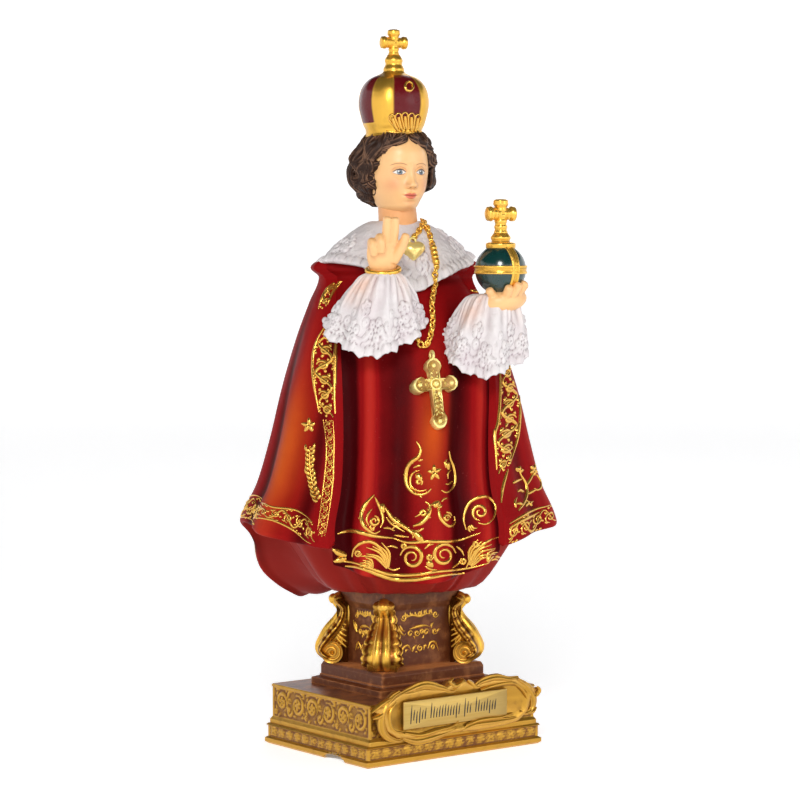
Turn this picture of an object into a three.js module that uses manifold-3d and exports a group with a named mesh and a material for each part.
import * as THREE from "three";
import { ParametricGeometry } from "three/addons/geometries/ParametricGeometry.js";
import { mergeVertices } from "three/addons/utils/BufferGeometryUtils.js";
import Module from "manifold-3d";

// A painted resin statuette of a robed and crowned child, on a stepped pedestal, with a metal name plate.
// Millimetres, +Z up, origin at the centre of the base underside. The base faces -Y.

const wasm = await Module();
wasm.setup();
const degree = Math.PI / 180;
const fullTurn = (2 * Math.PI) / degree;
const shortestEdge = 0.18;

// Base sizes
const slabLength = 61.5;
const slabDepth = 48.4;
const slabHeight = 5.8;
const slabMoulding = 0.7;
const blockLength = 57.8;
const blockDepth = 45.8;
const blockHeight = 11.1;
const blockFoot = 1.1;
const chipLength = 9.4;
const chipDepth = 2.0;
const chipRise = 1.9;
const chipFromMiddle = 8.4;

// Pedestal sizes
const lowerStepLength = 39.8;
const lowerStepDepth = 32.6;
const lowerStepHeight = 2.9;
const upperStepLength = 35.8;
const upperStepDepth = 28.9;
const upperStepHeight = 3.4;
const bodyLength = 24.6;
const bodyDepth = 18.4;
const bodyHeight = 18.6;
const capLength = 26.9;
const capDepth = 20.1;
const capHeight = 4.2;
const pedestalShiftX = -0.4;
const pedestalShiftY = 1.0;
const pedestalLean = 0.4;

// Scroll bracket sizes
const bracketReach = 7.6;
const bracketFootWidth = 8.2;
const bracketHeadWidth = 4.2;
const bracketThickness = 2.6;
const bracketWeb = 4.2;
const volute = 3.1;
const bracketBall = 1.5;

// Name plate sizes, and the cartouche: a sunk field round the plate with a rolled frame round the field
const plateLength = 36.3;
const plateHeight = 7.6;
const plateThickness = 0.5;
const plateShift = -1.0;
const plateGap = 0.3;
const fieldEnds = 5.0;
const fieldEdges = 0.9;
const frameWidth = 2.2;
const frameRoll = 0.95;
const frameLift = 0.6;
const cartoucheThickness = 1.5;

// Whole height, and the robe's widest span and reach
const statuetteHeight = 200;
const robeSpan = 88.8;
const robeReach = 71.0;

// The figure is drawn 153.6 high on a foot plane at 46, and scaled to its own height from there
const drawnHeight = 153.6;
const drawnFoot = 46;
const figureTurn = -20;
const headTurn = 10;

// Heights that the other parts hang on
const blockTop = slabHeight + blockHeight;
const lowerStepTop = blockTop + lowerStepHeight;
const upperStepTop = lowerStepTop + upperStepHeight;
const bodyTop = upperStepTop + bodyHeight;
const pedestalTop = bodyTop + capHeight;
const unit = (statuetteHeight - pedestalTop) / drawnHeight;
const halfSpan = robeSpan / 2 / unit;
const halfReach = robeReach / 2 / unit;
const fieldHalfLength = plateLength / 2 + fieldEnds;
const fieldHalfHeight = plateHeight / 2 + fieldEdges;
const fieldMiddle = slabHeight + frameLift + frameWidth + fieldHalfHeight;

// Smooth curve through [place, value] stops, level beyond both ends
function through(stops, place) {
  const last = stops.length - 1;
  if (place <= stops[0][0]) {
    return stops[0][1];
  }
  if (place >= stops[last][0]) {
    return stops[last][1];
  }
  let i = 0;
  while (place > stops[i + 1][0]) {
    i += 1;
  }
  const slope = (a, b) => (stops[b][1] - stops[a][1]) / (stops[b][0] - stops[a][0]);
  const width = stops[i + 1][0] - stops[i][0];
  const before = slope(Math.max(i - 1, 0), i + 1) * width;
  const after = slope(i, Math.min(i + 2, last)) * width;
  const t = (place - stops[i][0]) / width;
  const rise = t * t * (3 - 2 * t);
  const lead = t * (1 - t) * (1 - t);
  const trail = t * t * (t - 1);
  return stops[i][1] * (1 - rise) + stops[i + 1][1] * rise + before * lead + after * trail;
}

// Soft bump of height one
function swell(place, middle, reach) {
  return Math.exp(-(((place - middle) / reach) ** 2));
}

// Soft step from nought to one
function ramp(low, high, place) {
  const t = Math.min(Math.max((place - low) / (high - low), 0), 1);
  return t * t * (3 - 2 * t);
}

// Angle brought to within half a turn of the front
function wrapped(angle) {
  return angle - fullTurn * Math.round(angle / fullTurn);
}

// Triangles of an index that still have three different corners
function wholeTriangles(index) {
  const kept = [];
  for (let i = 0; i < index.length; i += 3) {
    const [a, b, c] = [index[i], index[i + 1], index[i + 2]];
    if (a !== b && b !== c && c !== a) {
      kept.push(a, b, c);
    }
  }
  return kept;
}

// Groups of linked corners: join(a, b) links two, rootOf(a) names the group
function makeLinks(count) {
  const link = Array.from({ length: count }, (_, i) => i);
  const rootOf = (corner) => {
    let at = corner;
    while (link[at] !== at) {
      link[at] = link[link[at]];
      at = link[at];
    }
    return at;
  };
  const join = (a, b) => {
    link[rootOf(a)] = rootOf(b);
  };
  return { join, rootOf };
}

// The corners that each corner shares an edge with
function neighboursOf(index, cornerCount) {
  const near = Array.from({ length: cornerCount }, () => new Set());
  for (let i = 0; i < index.length; i += 1) {
    const next = index[i % 3 === 2 ? i - 2 : i + 1];
    near[index[i]].add(next);
    near[next].add(index[i]);
  }
  return near;
}

// Joining leaves very short edges: their two ends become one corner wherever the skin stays closed
function withoutShortEdges(corners, index) {
  const count = corners.length / 3;
  const near = neighboursOf(index, count);
  const links = makeLinks(count);
  const [p, q] = [new THREE.Vector3(), new THREE.Vector3()];
  const short = [];
  near.forEach((others, a) => {
    for (const b of others) {
      const length = p.fromArray(corners, 3 * a).distanceTo(q.fromArray(corners, 3 * b));
      if (a < b && length < shortestEdge) {
        short.push([length, a, b]);
      }
    }
  });
  short.sort((one, other) => one[0] - other[0]);
  for (const [, a, b] of short) {
    const [going, staying] = [links.rootOf(a), links.rootOf(b)];
    const shared = [...near[going]].filter((corner) => near[staying].has(corner));
    if (going === staying || shared.length !== 2) {
      continue;
    }
    links.join(going, staying);
    for (const corner of near[going]) {
      near[corner].delete(going);
      if (corner !== staying) {
        near[corner].add(staying);
        near[staying].add(corner);
      }
    }
  }
  return wholeTriangles(index.map((corner) => links.rootOf(corner)));
}

// Triangles of the main body: specks that joining leaves behind are dropped
function mainBody(index, cornerCount) {
  const links = makeLinks(cornerCount);
  const tally = new Map();
  for (let i = 0; i < index.length; i += 3) {
    links.join(index[i], index[i + 1]);
    links.join(index[i + 1], index[i + 2]);
  }
  for (const corner of index) {
    const root = links.rootOf(corner);
    tally.set(root, (tally.get(root) ?? 0) + 1);
  }
  const [main] = [...tally].sort((a, b) => b[1] - a[1])[0];
  return index.filter((_, i) => links.rootOf(index[i - (i % 3)]) === main);
}

// Closed geometry to solid: shared corners merged, flat triangles dropped, faces out
function solidOf(geometry) {
  geometry.deleteAttribute("normal");
  geometry.deleteAttribute("uv");
  const merged = mergeVertices(geometry, 1e-4);
  const corners = merged.attributes.position.array;
  const index = merged.index.array;
  const kept = wholeTriangles(index);
  let volume = 0;
  for (let i = 0; i < kept.length; i += 3) {
    const [p, q, r] = [0, 1, 2].map((k) => new THREE.Vector3().fromArray(corners, 3 * kept[i + k]));
    volume += p.dot(q.cross(r));
  }
  if (volume < 0) {
    kept.reverse();
  }
  const mesh = new wasm.Mesh({ numProp: 3, vertProperties: corners, triVerts: new Uint32Array(kept) });
  return new wasm.Manifold(mesh);
}

// Closed skin: place(column, row) gives a point, columns run once round, rows run from pole to pole
function skin(columns, rows, place, matrix) {
  const set = (u, v, target) => {
    const column = Math.round(u * columns) % columns;
    const [x, y, z] = place(column, Math.round(v * rows));
    target.set(x, y, z);
  };
  const geometry = new ParametricGeometry(set, columns, rows);
  if (matrix) {
    geometry.applyMatrix4(matrix);
  }
  return solidOf(geometry);
}

// Angles once round, closer together where the runs say so: [from, to, count]
function spread(runs) {
  const angles = [];
  for (const [from, to, count] of runs) {
    for (let i = 0; i < count; i += 1) {
      angles.push(from + ((to - from) * i) / count);
    }
  }
  return angles;
}

// Rectangular block with a profile: each level is [z, length, depth], closed by flat ends
function profiledBlock(levels, shiftX, shiftY) {
  const ends = [levels[0], ...levels, levels[levels.length - 1]];
  const place = (column, row) => {
    const [z, length, depth] = ends[row];
    const atPole = row === 0 || row === ends.length - 1;
    const sideX = column === 1 || column === 2 ? 0.5 : -0.5;
    const sideY = column > 1 ? 0.5 : -0.5;
    return [shiftX + (atPole ? 0 : sideX * length), shiftY + (atPole ? 0 : sideY * depth), z];
  };
  return skin(4, ends.length - 1, place);
}

// Tube round a path: halfSize(share) gives the half sizes along side and normal
function tube(path, steps, sides, halfSize, side, matrix) {
  const across = new THREE.Vector3(...side).normalize();
  const place = (column, row) => {
    const share = Math.min(Math.max((row - 1) / (steps - 2), 0), 1);
    const centre = path.getPoint(share);
    const along = path.getTangent(share);
    const out = new THREE.Vector3().crossVectors(along, across).normalize();
    const wide = new THREE.Vector3().crossVectors(out, along).normalize();
    const [halfWide, halfOut] = row === 0 || row === steps ? [0, 0] : halfSize(share);
    const angle = (2 * Math.PI * (column + 0.5)) / sides;
    centre.addScaledVector(wide, halfWide * Math.cos(angle));
    centre.addScaledVector(out, halfOut * Math.sin(angle));
    return centre.toArray();
  };
  return skin(sides, steps, place, matrix);
}

function pathOf(points) {
  return new THREE.CatmullRomCurve3(points.map((point) => new THREE.Vector3(...point)));
}

// Egg or ball, its middle at the matrix origin
function ball(halfX, halfY, halfZ, columns, rows, matrix) {
  const place = (column, row) => {
    const up = Math.PI * (row / rows - 0.5);
    const round = (2 * Math.PI * column) / columns;
    const flat = row === 0 || row === rows ? 0 : Math.cos(up);
    return [halfX * flat * Math.sin(round), -halfY * flat * Math.cos(round), halfZ * Math.sin(up)];
  };
  return skin(columns, rows, place, matrix);
}

// Turned shape round its own Z axis: [radius, z] stops from pole to pole
function turned(profile, columns, matrix) {
  const place = (column, row) => {
    const round = (2 * Math.PI * column) / columns;
    const [radius, z] = profile[row];
    return [radius * Math.sin(round), -radius * Math.cos(round), z];
  };
  return skin(columns, profile.length - 1, place, matrix);
}

function moved(x, y, z, turnX = 0, turnY = 0, turnZ = 0) {
  const turn = new THREE.Euler(turnX * degree, turnY * degree, turnZ * degree, "ZYX");
  const matrix = new THREE.Matrix4().makeRotationFromEuler(turn);
  return matrix.setPosition(x, y, z);
}

function joined(solids) {
  return solids.reduce((sum, solid) => sum.add(solid));
}

// Base: moulded slab, block with a foot step, and the chip in the right-hand lower edge
function makeBase() {
  const inset = 2 * slabMoulding;
  const slab = profiledBlock([
    [0, slabLength - inset, slabDepth - inset],
    [0.1 * slabHeight, slabLength, slabDepth],
    [0.28 * slabHeight, slabLength, slabDepth],
    [0.36 * slabHeight, slabLength - inset, slabDepth - inset],
    [0.86 * slabHeight, slabLength - inset, slabDepth - inset],
    [0.92 * slabHeight, slabLength - 0.4 * inset, slabDepth - 0.4 * inset],
    [slabHeight, slabLength - inset, slabDepth - inset],
  ], 0, 0);
  const seat = 0.95 * slabHeight;
  const block = profiledBlock([
    [seat, blockLength + blockFoot, blockDepth + blockFoot],
    [slabHeight + 0.1 * blockHeight, blockLength + blockFoot, blockDepth + blockFoot],
    [slabHeight + 0.17 * blockHeight, blockLength, blockDepth],
    [slabHeight + 0.92 * blockHeight, blockLength, blockDepth],
    [slabHeight + 0.95 * blockHeight, blockLength + 0.5 * blockFoot, blockDepth + 0.5 * blockFoot],
    [blockTop, blockLength, blockDepth],
  ], 0, 0);
  const chip = ball(chipDepth, chipLength / 2, chipRise, 10, 6, moved(-slabLength / 2, -chipFromMiddle, 0));
  return slab.add(block).subtract(chip);
}

// Pedestal: two steps, a lightly waisted body and a cap slab
function makePedestal() {
  const edge = 0.32;
  const lower = profiledBlock([
    [blockTop - edge, lowerStepLength, lowerStepDepth],
    [blockTop + 0.62 * lowerStepHeight, lowerStepLength, lowerStepDepth],
    [blockTop + 0.8 * lowerStepHeight, upperStepLength + 2 * edge, upperStepDepth + 2 * edge],
    [lowerStepTop, upperStepLength + edge, upperStepDepth + edge],
  ], 0, pedestalLean);
  const upper = profiledBlock([
    [lowerStepTop - edge, upperStepLength, upperStepDepth],
    [lowerStepTop + 0.7 * upperStepHeight, upperStepLength, upperStepDepth],
    [upperStepTop, upperStepLength - 3 * edge, upperStepDepth - 3 * edge],
  ], 0, pedestalLean);
  const body = profiledBlock([
    [upperStepTop - edge, bodyLength, bodyDepth],
    [upperStepTop + 0.45 * bodyHeight, bodyLength - edge, bodyDepth - edge],
    [upperStepTop + 0.85 * bodyHeight, bodyLength, bodyDepth],
    [upperStepTop + 0.95 * bodyHeight, capLength, capDepth],
    [bodyTop, capLength + edge, capDepth + edge],
    [pedestalTop, capLength, capDepth],
  ], pedestalShiftX, pedestalShiftY);
  return joined([lower, upper, body, ...makeBrackets()]);
}

// Four S-shaped brackets on the pedestal corners, drawn in the plane of each corner's diagonal
function makeBrackets() {
  const brackets = [];
  const low = upperStepTop;
  const span = bodyHeight;
  const s = bracketReach;
  const line = [
    [0.1 * s, low + 1.0 * span],
    [0.3 * s, low + 0.94 * span],
    [0.02 * s, low + 0.8 * span],
    [0.16 * s, low + 0.6 * span],
    [0.58 * s, low + 0.38 * span],
    [0.83 * s, low + 0.2 * span],
    [0.52 * s, low + 0.08 * span],
  ];
  const path = pathOf(line.map(([out, z]) => [out, 0, z]));
  const leaf = (share) => 1 + 0.16 * Math.max(0, Math.sin(5 * Math.PI * share)) * ramp(0.15, 0.3, share);
  const halfSize = (share) => {
    const width = bracketHeadWidth + (bracketFootWidth - bracketHeadWidth) * ramp(0.1, 0.85, share);
    return [0.62 * width * leaf(share), bracketThickness * (0.5 + 0.5 * swell(share, 0.55, 0.3))];
  };
  for (const sideX of [-1, 1]) {
    for (const sideY of [-1, 1]) {
      const turn = Math.atan2(sideY, sideX) / degree;
      const x = pedestalShiftX + (sideX * bodyLength) / 2;
      const y = pedestalShiftY + (sideY * bodyDepth) / 2;
      const corner = moved(x, y, 0, 0, 0, turn);
      const place = (out, z) => corner.clone().multiply(moved(out, 0, z, 90));
      const side = bracketFootWidth / 2;
      const scroll = [[0, -side], [volute, -side], [volute, side], [0, side]];
      brackets.push(tube(path, 9, 6, halfSize, [0, 1, 0], corner));
      brackets.push(bracketSide(line, corner));
      brackets.push(turned(scroll, 9, place(0.42 * s, low + volute - 0.15)));
      brackets.push(ball(bracketBall, bracketBall, bracketBall, 5, 4, place(0.42 * s, low + 0.95 * span)));
    }
  }
  return brackets;
}

// Leafy side of a bracket: fills between its strap and the pedestal corner
function bracketSide(line, corner) {
  const outline = new THREE.Shape();
  outline.moveTo(-1, upperStepTop - 0.3);
  [...line].reverse().forEach(([out, z]) => outline.lineTo(out, z));
  outline.lineTo(-1, bodyTop);
  const web = new THREE.ExtrudeGeometry(outline, { depth: bracketWeb, bevelEnabled: false });
  web.applyMatrix4(corner.clone().multiply(moved(0, bracketWeb / 2, 0, 90)));
  return solidOf(web);
}

// Right half of the frame's edge, from the lower joint to the upper curl, as shares of its half sizes
const frameEdge = [[0.03, -0.95], [0.3, -1.0], [0.65, -0.95], [0.85, -0.86], [0.98, -0.52], [1.02, -0.1],
  [1.05, 0.15], [1.14, 0.36], [1.06, 0.5], [0.95, 0.62], [0.83, 1.0], [0.74, 0.94], [0.5, 1.03],
  [0.3, 0.92], [0.2, 0.83], [0.13, 1.03], [0.08, 1.2], [0.02, 1.0]];

// Point of the cartouche: spread 0 is the rim of the field, spread 1 the outer edge of the frame
function cartouchePoint(column, spreadShare, y) {
  const half = frameEdge.length;
  const onRight = column < half;
  const [across, rise] = frameEdge[onRight ? column : 2 * half - 1 - column];
  const angle = Math.atan2(rise, across);
  const corner = (Math.cos(angle) ** 4 + Math.sin(angle) ** 4) ** -0.25;
  const innerX = fieldHalfLength * corner * Math.cos(angle);
  const innerZ = fieldHalfHeight * corner * Math.sin(angle);
  const outerX = (fieldHalfLength + frameWidth) * across;
  const outerZ = (fieldHalfHeight + frameWidth) * rise;
  const x = innerX + (outerX - innerX) * spreadShare;
  return [onRight ? x : -x, y, fieldMiddle + innerZ + (outerZ - innerZ) * spreadShare];
}

// Cartouche: a backing slab on the block front, rising above its top, with the rolled frame
function makeCartouche() {
  const front = -blockDepth / 2;
  const face = front - cartoucheThickness;
  const behind = front + cartoucheThickness;
  const rings = [[behind, 0.8], [face, 1], [face - frameRoll, 0.8], [face - frameRoll, 0.42], [face, 0]];
  const place = (column, row) => {
    if (row === 0 || row === rings.length + 1) {
      return [0, row === 0 ? behind : face, fieldMiddle];
    }
    const [y, spreadShare] = rings[row - 1];
    return cartouchePoint(column, spreadShare, y);
  };
  return skin(2 * frameEdge.length, rings.length + 1, place);
}

// The figure's own drawing space, set on the pedestal
const figureSpace = moved(0, 0, pedestalTop, 0, 0, figureTurn)
  .multiply(new THREE.Matrix4().makeScale(unit, unit, unit))
  .multiply(moved(0, 0, -drawnFoot));

// Robe: its half width and half depth at each height, as shares of the widest, and the drift of its middle
const robeWidth = [[38, 0.991], [63, 1], [74, 0.896], [85, 0.827], [101, 0.745], [114, 0.653], [124, 0.561],
  [131, 0.495], [133.4, 0.55], [135.2, 0.523], [138, 0.372], [142, 0.113]];
const robeDepth = [[38, 1.028], [63, 1], [74, 0.901], [85, 0.831], [101, 0.732], [114, 0.631], [124, 0.535],
  [131, 0.437], [133.4, 0.451], [135.2, 0.408], [138, 0.282], [142, 0.113]];
const robeMiddleX = [[60, -0.7], [100, -0.3], [130, -1.1]];
const robeMiddleY = [[60, 0.8], [100, 1.2], [130, 3.0]];
const robeTop = 141;
const dressTop = 137;
const foldFade = [134, 58];
const capeLayer = 1.7;

// Dress folds as [share across the opening, half spread, height at the hem]
const dressFolds = [[0.07, 0.06, -1.9], [0.195, 0.055, 1.7], [0.36, 0.09, -1.6], [0.575, 0.1, 1.7],
  [0.75, 0.055, -2.1], [0.89, 0.05, 1.7]];
// Cape folds as [angle from the front, half spread, height at the hem]
const capeFolds = [[-45, 4, 0.5], [-53, 5, -1.1], [-71, 9, 1.5], [-89, 6, -1.3], [-105, 7, 1.0],
  [-119, 6, -1.3], [-133, 6, 1.4], [-147, 6, -1.3], [-162, 7, 1.6], [-178, 7, -1.4], [164, 7, 1.6],
  [148, 7, -1.5], [130, 7, 1.5], [112, 7, -1.3], [94, 7, 1.2], [78, 7, -1.2], [62, 7, 1.2], [47, 6, -0.9]];
const dressHem = [[-45, 55.6], [-30, 52.4], [-14, 50], [-4, 49.6], [8, 50.8], [18, 53.6], [30, 58.4]];
const capeHem = [[-180, 42], [-165, 40], [-152, 38.4], [-143, 41], [-136, 45], [-128, 50.5], [-120, 55.5],
  [-112, 60.4], [-101, 63.2], [-90, 63], [-70, 61.4], [-40, 59], [25, 58.6], [45, 61.0], [76, 62.3],
  [92, 63], [104, 62], [120, 57.5], [136, 50.5], [150, 45], [165, 42], [180, 42]];
const openingRight = [[56, -39.5], [83, -42.5], [110, -50], [124, -62], [133, -84]];
const openingLeft = [[56, 25.5], [83, 30], [107, 44], [124, 62], [133, 84]];

// Height of the folds at a place, softening towards the shoulders
function foldsAt(folds, awayFrom, z) {
  const strength = ramp(...foldFade, z) ** 0.8;
  const heights = folds.map(([middle, reach, peak]) => peak * swell(awayFrom(middle), 0, reach));
  return heights.reduce((sum, height) => sum + height, 0) * strength;
}

// Point on the robe at an angle from the front, a height, and a lift off the drawn oval
function robePoint(angle, z, lift) {
  const x = (halfSpan * through(robeWidth, z) + lift) * Math.sin(angle * degree);
  const y = -(halfReach * through(robeDepth, z) + lift) * Math.cos(angle * degree);
  return [through(robeMiddleX, z) + x, through(robeMiddleY, z) + y, z];
}

function dressLift(angle, z) {
  const right = through(openingRight, z);
  const share = (angle - right) / (through(openingLeft, z) - right);
  return foldsAt(dressFolds, (middle) => share - middle, z) - capeLayer;
}

function capeLift(angle, z) {
  return foldsAt(capeFolds, (middle) => wrapped(angle - middle), z);
}

const onDress = (angle, z, lift) => robePoint(angle, z, dressLift(angle, z) + lift);

// Column of a garment: zone "front" runs across the opening, zone "cape" from its left edge round the back
function columnAngle([zone, share], z) {
  const right = through(openingRight, z);
  const left = through(openingLeft, z);
  const behind = left + (fullTurn + right - left) * share;
  return wrapped(zone === "front" ? right + (left - right) * share : behind);
}

function columnsOf(zone, from, to, count) {
  return Array.from({ length: count }, (_, i) => [zone, from + ((to - from) * i) / (count - 1)]);
}

// Rows of a garment: underside pole, two rings inwards, the hem roll, then up to the top pole
function garmentRows(shares) {
  return [["pole"], ["under", 0.5], ["under", 0.8], ["hem", -1.1, 0.1], ["hem", 0.1, 1.1],
    ["hem", 0, 2.8], ...shares.map((share) => ["wall", share]), ["top"]];
}

const garmentUnderside = drawnFoot - 1.6;

// Shares of the way out between which the underside climbs to the level of the hem
const undersideClimb = [0.45, 0.85];

function garment(columns, shares, tucked, hemAt, liftAt, top) {
  const rows = garmentRows(shares);
  const place = (column, row) => {
    const [kind, first, second] = rows[row];
    if (kind === "pole") {
      return [0, 0, garmentUnderside];
    }
    if (kind === "top") {
      return [through(robeMiddleX, top), through(robeMiddleY, top), top];
    }
    const [hidden, inward] = tucked(columns[column]);
    const low = columnAngle(columns[column], 58);
    const hem = hemAt(low) + hidden;
    if (kind === "under") {
      const [rimX, rimY] = robePoint(low, hem, liftAt(low, hem));
      const rise = ramp(...undersideClimb, first) * (hem + 1 - garmentUnderside);
      return [rimX * inward * first, rimY * inward * first, garmentUnderside + rise];
    }
    const z = kind === "hem" ? hem + second : hem + 2.8 + (top - 0.5 - hem - 2.8) * first;
    const angle = columnAngle(columns[column], z);
    const [x, y] = robePoint(angle, z, liftAt(angle, z) + (kind === "hem" ? first : 0));
    const middleX = through(robeMiddleX, z);
    const middleY = through(robeMiddleY, z);
    return [middleX + (x - middleX) * inward, middleY + (y - middleY) * inward, z];
  };
  return skin(columns.length, rows.length - 1, place, figureSpace);
}

// Dress: the front between the cape edges, tucked well inside the cape elsewhere
function makeDress() {
  const columns = [...columnsOf("front", 0, 1, 22), ...columnsOf("cape", 0.004, 0.996, 6)];
  const shares = [0.09, 0.23, 0.4, 0.58, 0.77, 0.95];
  const tucked = ([zone]) => (zone === "front" ? [0, 1] : [8, 0.8]);
  const hemAt = (angle) => through(dressHem, angle);
  return garment(columns, shares, tucked, hemAt, dressLift, dressTop);
}

// Cape: all round but for the front opening, where it is tucked inside the dress
function makeCape() {
  const columns = [...columnsOf("cape", 0, 1, 36), ...columnsOf("front", 0.05, 0.95, 3)];
  const shares = [0.1, 0.24, 0.4, 0.57, 0.74, 0.87, 0.905];
  const tucked = ([zone]) => (zone === "cape" ? [0, 1] : [6, 0.7]);
  const hemAt = (angle) => through(capeHem, angle);
  return garment(columns, shares, tucked, hemAt, capeLift, robeTop);
}

// Lace collar: a stiff wide cape of lace, lowest in front, its edge standing off the shoulders
const collarMiddle = [-1.2, 3.0];
const collarHalfWidth = 0.507 * halfSpan;
const collarHalfDepth = 0.479 * halfReach;
const collarTop = 147;
const collarNeck = 0.3;
const collarThickness = 1.5;
const collarEdge = [[-180, 128.5], [-90, 135.4], [-40, 134.6], [-24, 131], [-10, 127.8], [6, 127.8],
  [15, 129.5], [30, 132], [45, 133.6], [90, 136], [180, 128.5]];

function collarPoint(angle, share, lift) {
  const scallop = 1 + 0.022 * Math.cos(12 * angle * degree) * ramp(0.8, 1, share);
  const fall = Math.max((share - collarNeck) / (1 - collarNeck), 0) ** 1.45;
  const z = collarTop - (collarTop - through(collarEdge, angle)) * fall;
  const x = collarMiddle[0] + (collarHalfWidth * scallop * share + 0.6 * lift) * Math.sin(angle * degree);
  const y = collarMiddle[1] - (collarHalfDepth * scallop * share + 0.6 * lift) * Math.cos(angle * degree);
  return [x, y, z + lift];
}

function makeCollar() {
  const columns = 30;
  const shares = [1, 0.8, 0.55, 0.3];
  const place = (column, row) => {
    const angle = wrapped((fullTurn * column) / columns);
    if (row === 0) {
      return [...collarMiddle, collarTop - 8];
    }
    if (row === 1) {
      return collarPoint(angle, 0.72, -4.5 * collarThickness);
    }
    if (row === 2) {
      return collarPoint(angle, 0.97, -collarThickness);
    }
    if (row === shares.length + 3) {
      return [...collarMiddle, collarTop];
    }
    return collarPoint(angle, shares[row - 3], 0);
  };
  return skin(columns, shares.length + 3, place, figureSpace);
}

// Lace cuff: a bell hanging from the wrist. Folds are lobes round it, the rim dips towards dipAngle
function cuffSkin(cuff, columns) {
  const shares = [0, 0.2, 0.5, 0.8, 1];
  const place = (column, row) => {
    const last = shares.length + 2;
    const share = row === 0 ? 0 : shares[Math.min(row - 1, shares.length - 1)];
    const angle = (fullTurn * column) / columns;
    const point = cuffPoint(cuff, angle, share);
    if (row === 0) {
      return [cuff.top[0], cuff.top[1], cuff.top[2]];
    }
    if (row === last - 1) {
      const above = cuffPoint(cuff, angle, 0.8);
      const middle = cuffMiddle(cuff, 0.8);
      return above.map((value, i) => middle[i] + (value - middle[i]) * 0.6);
    }
    return row === last ? cuffMiddle(cuff, 0.6) : point;
  };
  return skin(columns, shares.length + 2, place, figureSpace);
}

function cuffMiddle(cuff, share) {
  return cuff.top.map((value, i) => value + (cuff.foot[i] - value) * share);
}

function cuffPoint(cuff, angle, share) {
  const [middleX, middleY, middleZ] = cuffMiddle(cuff, share);
  const flare = share ** cuff.flare;
  const lobes = cuff.lobeHeight * Math.cos(cuff.lobes * angle * degree) * ramp(0, 0.6, share);
  const halfX = cuff.wristX + (cuff.rimX - cuff.wristX) * flare + lobes;
  const halfY = cuff.wristY + (cuff.rimY - cuff.wristY) * flare + lobes;
  const dip = cuff.dip * (0.5 + 0.5 * Math.cos((angle - cuff.dipAngle) * degree)) ** 2.6 * share ** 1.5;
  const edge = 0.5 * Math.cos(2 * cuff.lobes * angle * degree) * ramp(0.8, 1, share);
  const x = middleX + halfX * Math.sin(angle * degree);
  const y = middleY - halfY * Math.cos(angle * degree);
  return [x, y, middleZ - dip + edge];
}

const rightWrist = [-0.268 * halfSpan, -0.555 * halfReach, 133];
const rightCuff = {
  top: rightWrist,
  foot: [-0.297 * halfSpan, -0.439 * halfReach, 119],
  wristX: 4.4,
  wristY: 4.0,
  rimX: 13.9,
  rimY: 11.5,
  flare: 0.68,
  lobes: 9,
  lobeHeight: 0.8,
  dip: 9,
  dipAngle: -18,
};
const leftCuff = {
  top: [0.441 * halfSpan, -0.549 * halfReach, 127],
  foot: [0.392 * halfSpan, -0.524 * halfReach, 113],
  wristX: 5.6,
  wristY: 4.4,
  rimX: 12.6,
  rimY: 9,
  flare: 0.55,
  lobes: 7,
  lobeHeight: 0.9,
  dip: 9,
  dipAngle: -12,
};

// Fingers and limbs: a tapering round tube between points in the given space
function limb(points, startSize, endSize, sides, steps, space) {
  const size = (share) => {
    const end = share > 0.9 ? 0.62 : 1;
    const value = (startSize + (endSize - startSize) * share) * end;
    return [value, value];
  };
  return tube(pathOf(points), steps, sides, size, [0.3, 0.2, 0.1], space);
}

// Right hand raised in blessing: palm forward, two fingers up, two folded, thumb out
const rightHand = figureSpace.clone().multiply(moved(...rightWrist, 14, 0, -8));

function makeRightHand() {
  const space = rightHand;
  const palm = tube(pathOf([[0, 0, -3], [0, 0, 0], [-0.3, 0, 4.4], [-0.6, 0.2, 8.6]]), 7, 8, (share) => {
    const wide = through([[0, 3.3], [0.25, 3.4], [0.6, 4.3], [0.85, 4.1], [1, 3.2]], share);
    return [wide, 0.62 * wide * (1 - 0.25 * share)];
  }, [1, 0, 0], space);
  const wristTurn = space.clone().multiply(moved(0, 0, 0, 20));
  const bracelet = turned([[0, -1], [4.5, -0.9], [4.5, 0.8], [0, 0.9]], 10, wristTurn);
  return [
    palm,
    bracelet,
    limb([[2.2, -0.2, 7], [2.6, -0.3, 10], [2.8, 0, 12.4], [2.8, 0.2, 14.9]], 1.25, 1.1, 5, 6, space),
    limb([[0.3, -0.2, 7], [0.4, -0.3, 10], [0.5, 0, 12.6], [0.6, 0.2, 15.1]], 1.3, 1.15, 5, 6, space),
    limb([[-1.5, 0, 8], [-1.6, -1.8, 9.8], [-1.4, -3.4, 8.6], [-1.1, -3.2, 5.8]], 1.3, 1.1, 5, 6, space),
    limb([[-3.5, 0, 7.2], [-3.7, -1.6, 8.6], [-3.5, -3.0, 7.6], [-3.1, -2.8, 5]], 1.2, 1.05, 5, 6, space),
    limb([[2.4, -0.6, 3], [3.9, -1.2, 5.8], [5, -1.4, 8.2], [5.8, -1.3, 10.8]], 1.7, 1.1, 5, 6, space),
  ];
}

// Orb with two bands and a cross, held on the left hand
const orbRadius = 7;
const orbMiddle = [0.477 * halfSpan, -0.608 * halfReach, 133.3];
const orbSpace = figureSpace.clone().multiply(moved(...orbMiddle, 0, 0, 8));

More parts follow.
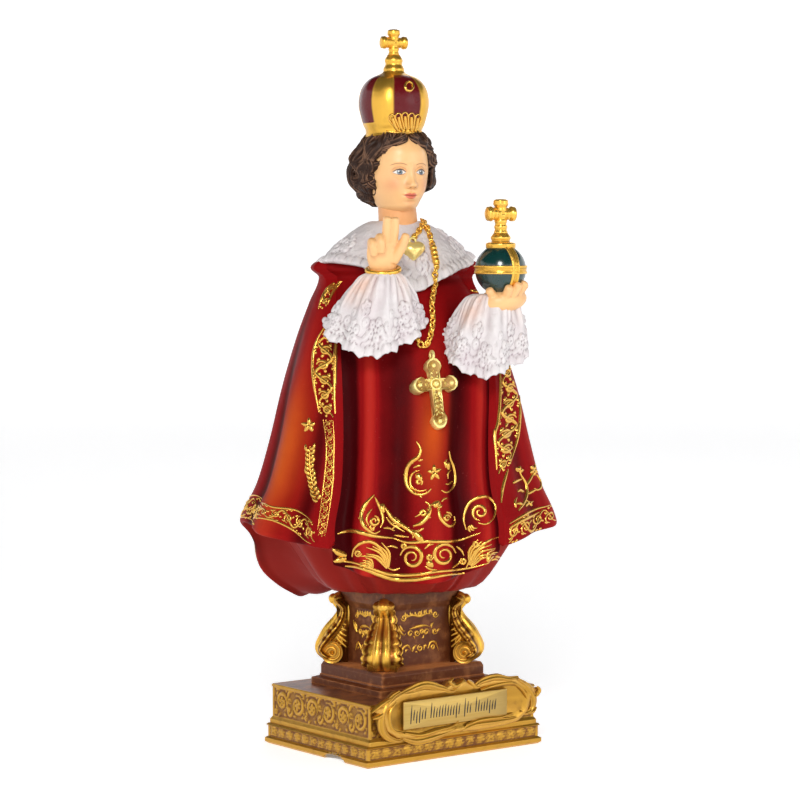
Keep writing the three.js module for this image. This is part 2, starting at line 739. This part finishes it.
function makeOrb() {
  const band = 0.35;
  const bandHalf = 1.15;
  const globe = ball(orbRadius, orbRadius, orbRadius, 15, 9, orbSpace);
  const outer = orbRadius + band;
  const ringProfile = [[0, -bandHalf], [outer, -bandHalf], [outer, bandHalf], [0, bandHalf]];
  const upright = orbSpace.clone().multiply(moved(0, 0, 0, 0, 90, -55));
  const collar = [[0, 5.6], [4, 6.1], [4, 7.2], [2.5, 7.7], [2.8, 8.7], [1.9, 10], [0, 10.2]];
  return [
    globe,
    turned(ringProfile, 15, orbSpace),
    turned(ringProfile, 15, upright),
    turned(collar, 8, orbSpace),
    ...makeBudCross(orbSpace.clone().multiply(moved(0, 0, 8.6)), 10.6, 4.3, 1.75),
  ];
}

// Chunky cross with rounded bud ends: bevelled bars with a ridge down each face
function makeBudCross(space, height, reach, half) {
  const armZ = 0.62 * height;
  const bar = (points) => tube(pathOf(points), 7, 4, (share) => {
    const foot = points[0][0] < 0 ? 0.25 * swell(share, 0.08, 0.16) : 0.15 * swell(share, 0, 0.3);
    const bud = 0.95 + 0.25 * swell(share, 0.92, 0.16) + foot;
    return [half * bud, half * bud];
  }, [0, 1, 0], space);
  const upright = bar([[0, 0, 0], [0, 0, height / 2], [0, 0, height]]);
  return [upright, bar([[-reach, 0, armZ], [0, 0, armZ], [reach, 0, armZ]])];
}

function makeLeftHand() {
  const space = orbSpace;
  const grip = orbRadius + 0.95;
  const onOrb = (round, low) => [grip * Math.cos(low * degree) * Math.sin(round * degree),
    -grip * Math.cos(low * degree) * Math.cos(round * degree), grip * Math.sin(low * degree)];
  const finger = (round, end) => {
    const line = [-88, -70, -50, end].map((low) => onOrb(round, low));
    return limb(line, 1.7, 1.25, 5, 6, space);
  };
  const palm = ball(7, 5.6, 3.6, 8, 6, space.clone().multiply(moved(0.8, 0.4, -8.4, 0, -8)));
  const wrist = limb([[2.6, 2.5, -7.5], [3.1, 1.5, -10.5], [2.4, 1, -14], [1, 1, -18]], 3.3, 3, 6, 5, space);
  return [palm, wrist, finger(-2, -33), finger(20, -27), finger(42, -24), finger(64, -27), finger(-60, -40)];
}

// Head space: middle of the head, turned a little towards the orb
const headMiddle = [-1.6, 1.4, 161];
const headSpace = figureSpace.clone().multiply(moved(...headMiddle, 0, 0, headTurn));
const headHalf = [8.8, 9.6, 12.2];

// Face relief as forward swell at a place across (x) and up (z) on the head
const eyeSide = 3.3;
const eyeUp = -0.9;
const mouthUp = -7.6;
const noseUp = -5.0;
function faceRelief(x, z) {
  const eye = Math.abs(x) - eyeSide;
  const [tip, low, middle, high] = [noseUp - 0.2, noseUp - 1.1, noseUp + 1, noseUp + 3];
  const bridge = [[low, 0], [tip, 1], [middle, 0.85], [high, 0.42], [0.6, 0.1], [2, 0]];
  const nose = through(bridge, z);
  let rise = 2.3 * nose * swell(x, 0, 1.15 + 0.25 * nose);
  rise += 0.5 * swell(Math.abs(x), 1.15, 0.6) * swell(z, noseUp + 0.1, 0.7);
  rise -= 0.85 * swell(eye, 0, 2.2) * swell(z, eyeUp + 0.2, 1.6);
  rise += 0.6 * swell(eye, 0, 1.35) * swell(z, eyeUp, 0.85);
  rise += 0.25 * swell(eye, 0.3, 2) * swell(z, eyeUp + 2.5, 0.7);
  rise += 0.55 * swell(Math.abs(x), 4.6, 2.4) * swell(z, -5.2, 2.6);
  rise += 0.75 * swell(x, 0, 1.9) * swell(z, mouthUp + 0.55, 0.55);
  rise += 0.8 * swell(x, 0, 1.5) * swell(z, mouthUp - 0.6, 0.6);
  rise -= 0.4 * swell(x, 0, 2) * swell(z, mouthUp, 0.28);
  rise -= 0.3 * swell(x, 0, 2) * swell(z, mouthUp - 1.7, 0.6);
  rise += 0.8 * swell(x, 0, 2.1) * swell(z, -10.6, 1.5);
  return rise;
}

function headPoint(round, up) {
  const jaw = 1 - 0.2 * ramp(-10, -60, up) * (0.4 + 0.6 * swell(round, 0, 70));
  const x = headHalf[0] * jaw * Math.cos(up * degree) * Math.sin(round * degree);
  const y = -headHalf[1] * jaw * Math.cos(up * degree) * Math.cos(round * degree);
  const z = headHalf[2] * Math.sin(up * degree);
  const facing = ramp(78, 50, Math.abs(round)) * ramp(-88, -66, up);
  return [x, y - faceRelief(x, z) * facing, z];
}

function makeHead() {
  const runs = [[-180, -80, 2], [-80, -40, 3], [-40, -14, 4], [-14, 14, 8], [14, 40, 4], [40, 80, 3],
    [80, 180, 2]];
  const rounds = spread(runs);
  const ups = [-90, -72, -58, -49, -43, -38, -33, -27, -22, -15, -9, -4, 1, 8, 22, 90];
  const place = (column, row) => {
    const flat = row === 0 || row === ups.length - 1;
    const [x, y, z] = headPoint(rounds[column], ups[row]);
    return flat ? [0, 0, z] : [x, y, z];
  };
  const neck = limb([[1.0, 0.4, -22], [0.9, 0.4, -17], [0.6, 0.6, -12], [0, 1, -6]], 6, 5, 9, 5, headSpace);
  return [skin(rounds.length, ups.length - 1, place, headSpace), neck];
}

// Hair: swept back from the brow in wavy locks, over the ears, down to the nape
const hairline = [[-90, 200], [-50, 112], [-38, 96], [-20, 76], [5, 68], [22, 56], [34, 34], [40, 0]];
function hairLift(round, up) {
  const edge = through(hairline, up) + 5 * Math.sin(up * degree * 14 + round * 0.03);
  const shown = ramp(edge - 5, edge + 3, Math.abs(round));
  const locks = 0.55 * Math.sin(round * degree * 11 + 3 * Math.sin(up * degree * 5));
  const waves = 0.3 * Math.sin(up * degree * 13 + round * degree * 4);
  const back = 0.35 + 0.65 * ramp(edge - 4, edge + 48, Math.abs(round));
  const depth = [[-70, 0.4], [-52, 1.2], [-35, 2.8], [-10, 3.4], [15, 3], [40, 1.6], [70, 1]];
  const body = back * through(depth, up);
  return -1.2 + shown * (1.3 + body + locks + waves);
}

function makeHair() {
  const columns = 32;
  const ups = [-90, -64, -52, -40, -28, -16, -4, 8, 20, 31, 42, 90];
  const place = (column, row) => {
    const round = wrapped((fullTurn * column) / columns);
    const up = ups[row];
    const lift = hairLift(round, up);
    const atPole = row === 0 || row === ups.length - 1;
    const flat = atPole ? 0 : Math.cos(up * degree);
    const x = (headHalf[0] + lift) * flat * Math.sin(round * degree);
    const y = -(headHalf[1] + lift) * flat * Math.cos(round * degree);
    return [x, y, (headHalf[2] + (atPole ? 0 : 0.25 * lift)) * Math.sin(up * degree)];
  };
  return skin(columns, ups.length - 1, place, headSpace);
}

// Crown: a domed cap with four broad ribs, a banded rim cut higher in front, and a coronet of leaves
const crownMiddle = [-2.1, 1.9, 168.2];
const crownTurn = 8;
const crownSpace = figureSpace.clone().multiply(moved(...crownMiddle, 0, 0, crownTurn));
const crownBrow = 3.4;
const crownProfile = [[0, -0.6], [7.3, 0], [8, 1.1], [7.8, crownBrow], [8.7, 6.7], [9.4, 10], [9.3, 12.8],
  [8.5, 15.4], [6.6, 17.7], [3.2, 19.4], [2.9, 20.5], [2.3, 21.8], [2.5, 22.9], [1.7, 24.4], [0, 25]];
const crownRib = 0.4;
const crownRibSpread = 20;
const crownRibRise = [crownBrow, crownBrow + 1.5];
const crownRibFall = [20.3, 17.8];
const crownCut = 2;
const crownCrossFoot = 21.8;
const crownCrossHeight = 9.6;
const crownCrossReach = 3.9;
const crownCrossHalf = 1.5;
const crownLeaf = [1.45, 0.75, 2.6];
const crownLeafPlace = [-8.2, 5.4];
const crownColumns = 20;

function crownRibLift(round, z) {
  const fromRib = (wrapped(4 * round - fullTurn / 2) / 4 / crownRibSpread) ** 4;
  return crownRib * Math.exp(-fromRib) * ramp(...crownRibRise, z) * ramp(...crownRibFall, z);
}

function crownPoint(column, row) {
  const round = (fullTurn * (column + 0.5)) / crownColumns;
  const [profileRadius, z] = crownProfile[row];
  const radius = profileRadius * (1 + crownRibLift(round, z) / crownProfile[2][0]);
  const front = 0.5 + 0.5 * Math.cos(round * degree);
  const cut = z < crownBrow && row > 0 ? crownCut * front * swell(z, 0, 1.6) : 0;
  return [radius * Math.sin(round * degree), -radius * Math.cos(round * degree), z + cut];
}

function makeCrown() {
  const leaves = [-38, -21, -4, 13, 30].map((round) => {
    const [y, z] = crownLeafPlace;
    const lean = crownSpace.clone().multiply(moved(0, 0, 0, 0, 0, round)).multiply(moved(0, y, z, 8));
    return ball(...crownLeaf, 6, 4, lean);
  });
  const foot = crownSpace.clone().multiply(moved(0, 0, crownCrossFoot));
  const cross = makeBudCross(foot, crownCrossHeight, crownCrossReach, crownCrossHalf);
  return [skin(crownColumns, crownProfile.length - 1, crownPoint, crownSpace), ...leaves, ...cross];
}

// Chains lie on the collar and dress as low beaded cords
const chainHalf = 0.85;
function chainPath(places) {
  return pathOf(places.map(([kind, first, second]) => (kind === "collar"
    ? collarPoint(first, second, 0.35) : onDress(first, second, 0.4))));
}

const longChain = [["collar", 52, 0.36], ["collar", 44, 0.55], ["collar", 34, 0.72], ["collar", 26, 0.9],
  ["dress", 17, 126], ["dress", 10, 119], ["dress", 6, 114.5], ["dress", 1.5, 111.4], ["dress", -2, 114.5],
  ["dress", -6, 120], ["dress", -10, 127]];
const heartChain = [["collar", 50, 0.36], ["collar", 40, 0.48], ["collar", 22, 0.6]];

function makeChains() {
  const size = () => [chainHalf, chainHalf];
  const pieces = [[longChain, 17], [heartChain, 6]].map(([places, steps]) => (
    tube(chainPath(places), steps, 4, size, [0.2, -1, 0.3], figureSpace)));
  const heart = figureSpace.clone().multiply(moved(...collarPoint(12, 0.78, 1.1), 40, 0, 0));
  pieces.push(ball(2.1, 1.5, 2.3, 8, 5, heart.clone().multiply(moved(1.1, 0, 0.5, 0, 28))));
  pieces.push(ball(2.1, 1.5, 2.3, 8, 5, heart.clone().multiply(moved(-1.1, 0, 0.5, 0, -28))));
  return pieces;
}

// Pectoral cross on the dress front
const pendantHeight = 19.4;
const pendantReach = 6.4;
const pendantHalf = 1.55;
const pendantThickness = 1.2;

function makePendant() {
  const high = new THREE.Vector3(...onDress(3, 110, pendantThickness));
  const low = new THREE.Vector3(...onDress(3, 110 - pendantHeight, pendantThickness));
  const up = high.clone().sub(low).normalize();
  const across = new THREE.Vector3(1, 0.12, 0.04).normalize();
  const out = new THREE.Vector3().crossVectors(across, up).normalize();
  const space = new THREE.Matrix4().makeBasis(across, up, out).setPosition(low);
  const half = pendantHalf;
  const arm = 0.63 * pendantHeight;
  const outline = new THREE.Shape();
  const corner = [[-half, half], [-half, arm - half], [-pendantReach + 1, arm - half], [-pendantReach, arm],
    [-pendantReach + 1, arm + half], [-half, arm + half], [-half, pendantHeight - 1.6]];
  outline.moveTo(0, 0);
  corner.forEach(([x, y]) => outline.lineTo(x, y));
  outline.lineTo(0, pendantHeight);
  [...corner].reverse().forEach(([x, y]) => outline.lineTo(-x, y));
  const slab = new THREE.ExtrudeGeometry(outline, { depth: 3 * pendantThickness, bevelEnabled: false });
  slab.translate(0, 0, -2 * pendantThickness);
  slab.applyMatrix4(figureSpace.clone().multiply(space));
  return solidOf(slab);
}

// Name plate: its own piece, seated on the cartouche with a glue gap
function makeNamePlate() {
  const plate = new THREE.BoxGeometry(plateLength, plateThickness, plateHeight);
  const seat = -blockDepth / 2 - cartoucheThickness;
  plate.translate(plateShift, seat - plateGap - plateThickness / 2, fieldMiddle);
  return solidOf(plate);
}

const build = new THREE.Group();

const statuetteParts = {
  base: [makeBase(), makeCartouche(), makePedestal()],
  dress: [makeDress()],
  cape: [makeCape()],
  collar: [makeCollar()],
  cuffs: [cuffSkin(rightCuff, 27), cuffSkin(leftCuff, 21)],
  hands: [...makeRightHand(), ...makeLeftHand()],
  orb: makeOrb(),
  head: makeHead(),
  hair: [makeHair()],
  crown: makeCrown(),
  chains: makeChains(),
  pendant: [makePendant()],
};

function meshOf(name, solid, material) {
  const mesh = solid.getMesh();
  const corners = mesh.vertProperties;
  const geometry = new THREE.BufferGeometry();
  geometry.setAttribute("position", new THREE.BufferAttribute(corners, 3));
  geometry.setIndex(mainBody(withoutShortEdges(corners, [...mesh.triVerts]), corners.length / 3));
  geometry.computeVertexNormals();
  const result = new THREE.Mesh(geometry, material);
  result.name = name;
  return result;
}

const resin = new THREE.MeshStandardMaterial({ color: 0xa3211c, roughness: 0.45, metalness: 0.0 });
const brass = new THREE.MeshStandardMaterial({ color: 0xb08d4f, roughness: 0.35, metalness: 0.8 });
build.add(meshOf("statuette", joined(Object.values(statuetteParts).flat()), resin));
build.add(meshOf("name_plate", makeNamePlate(), brass));

export default build;
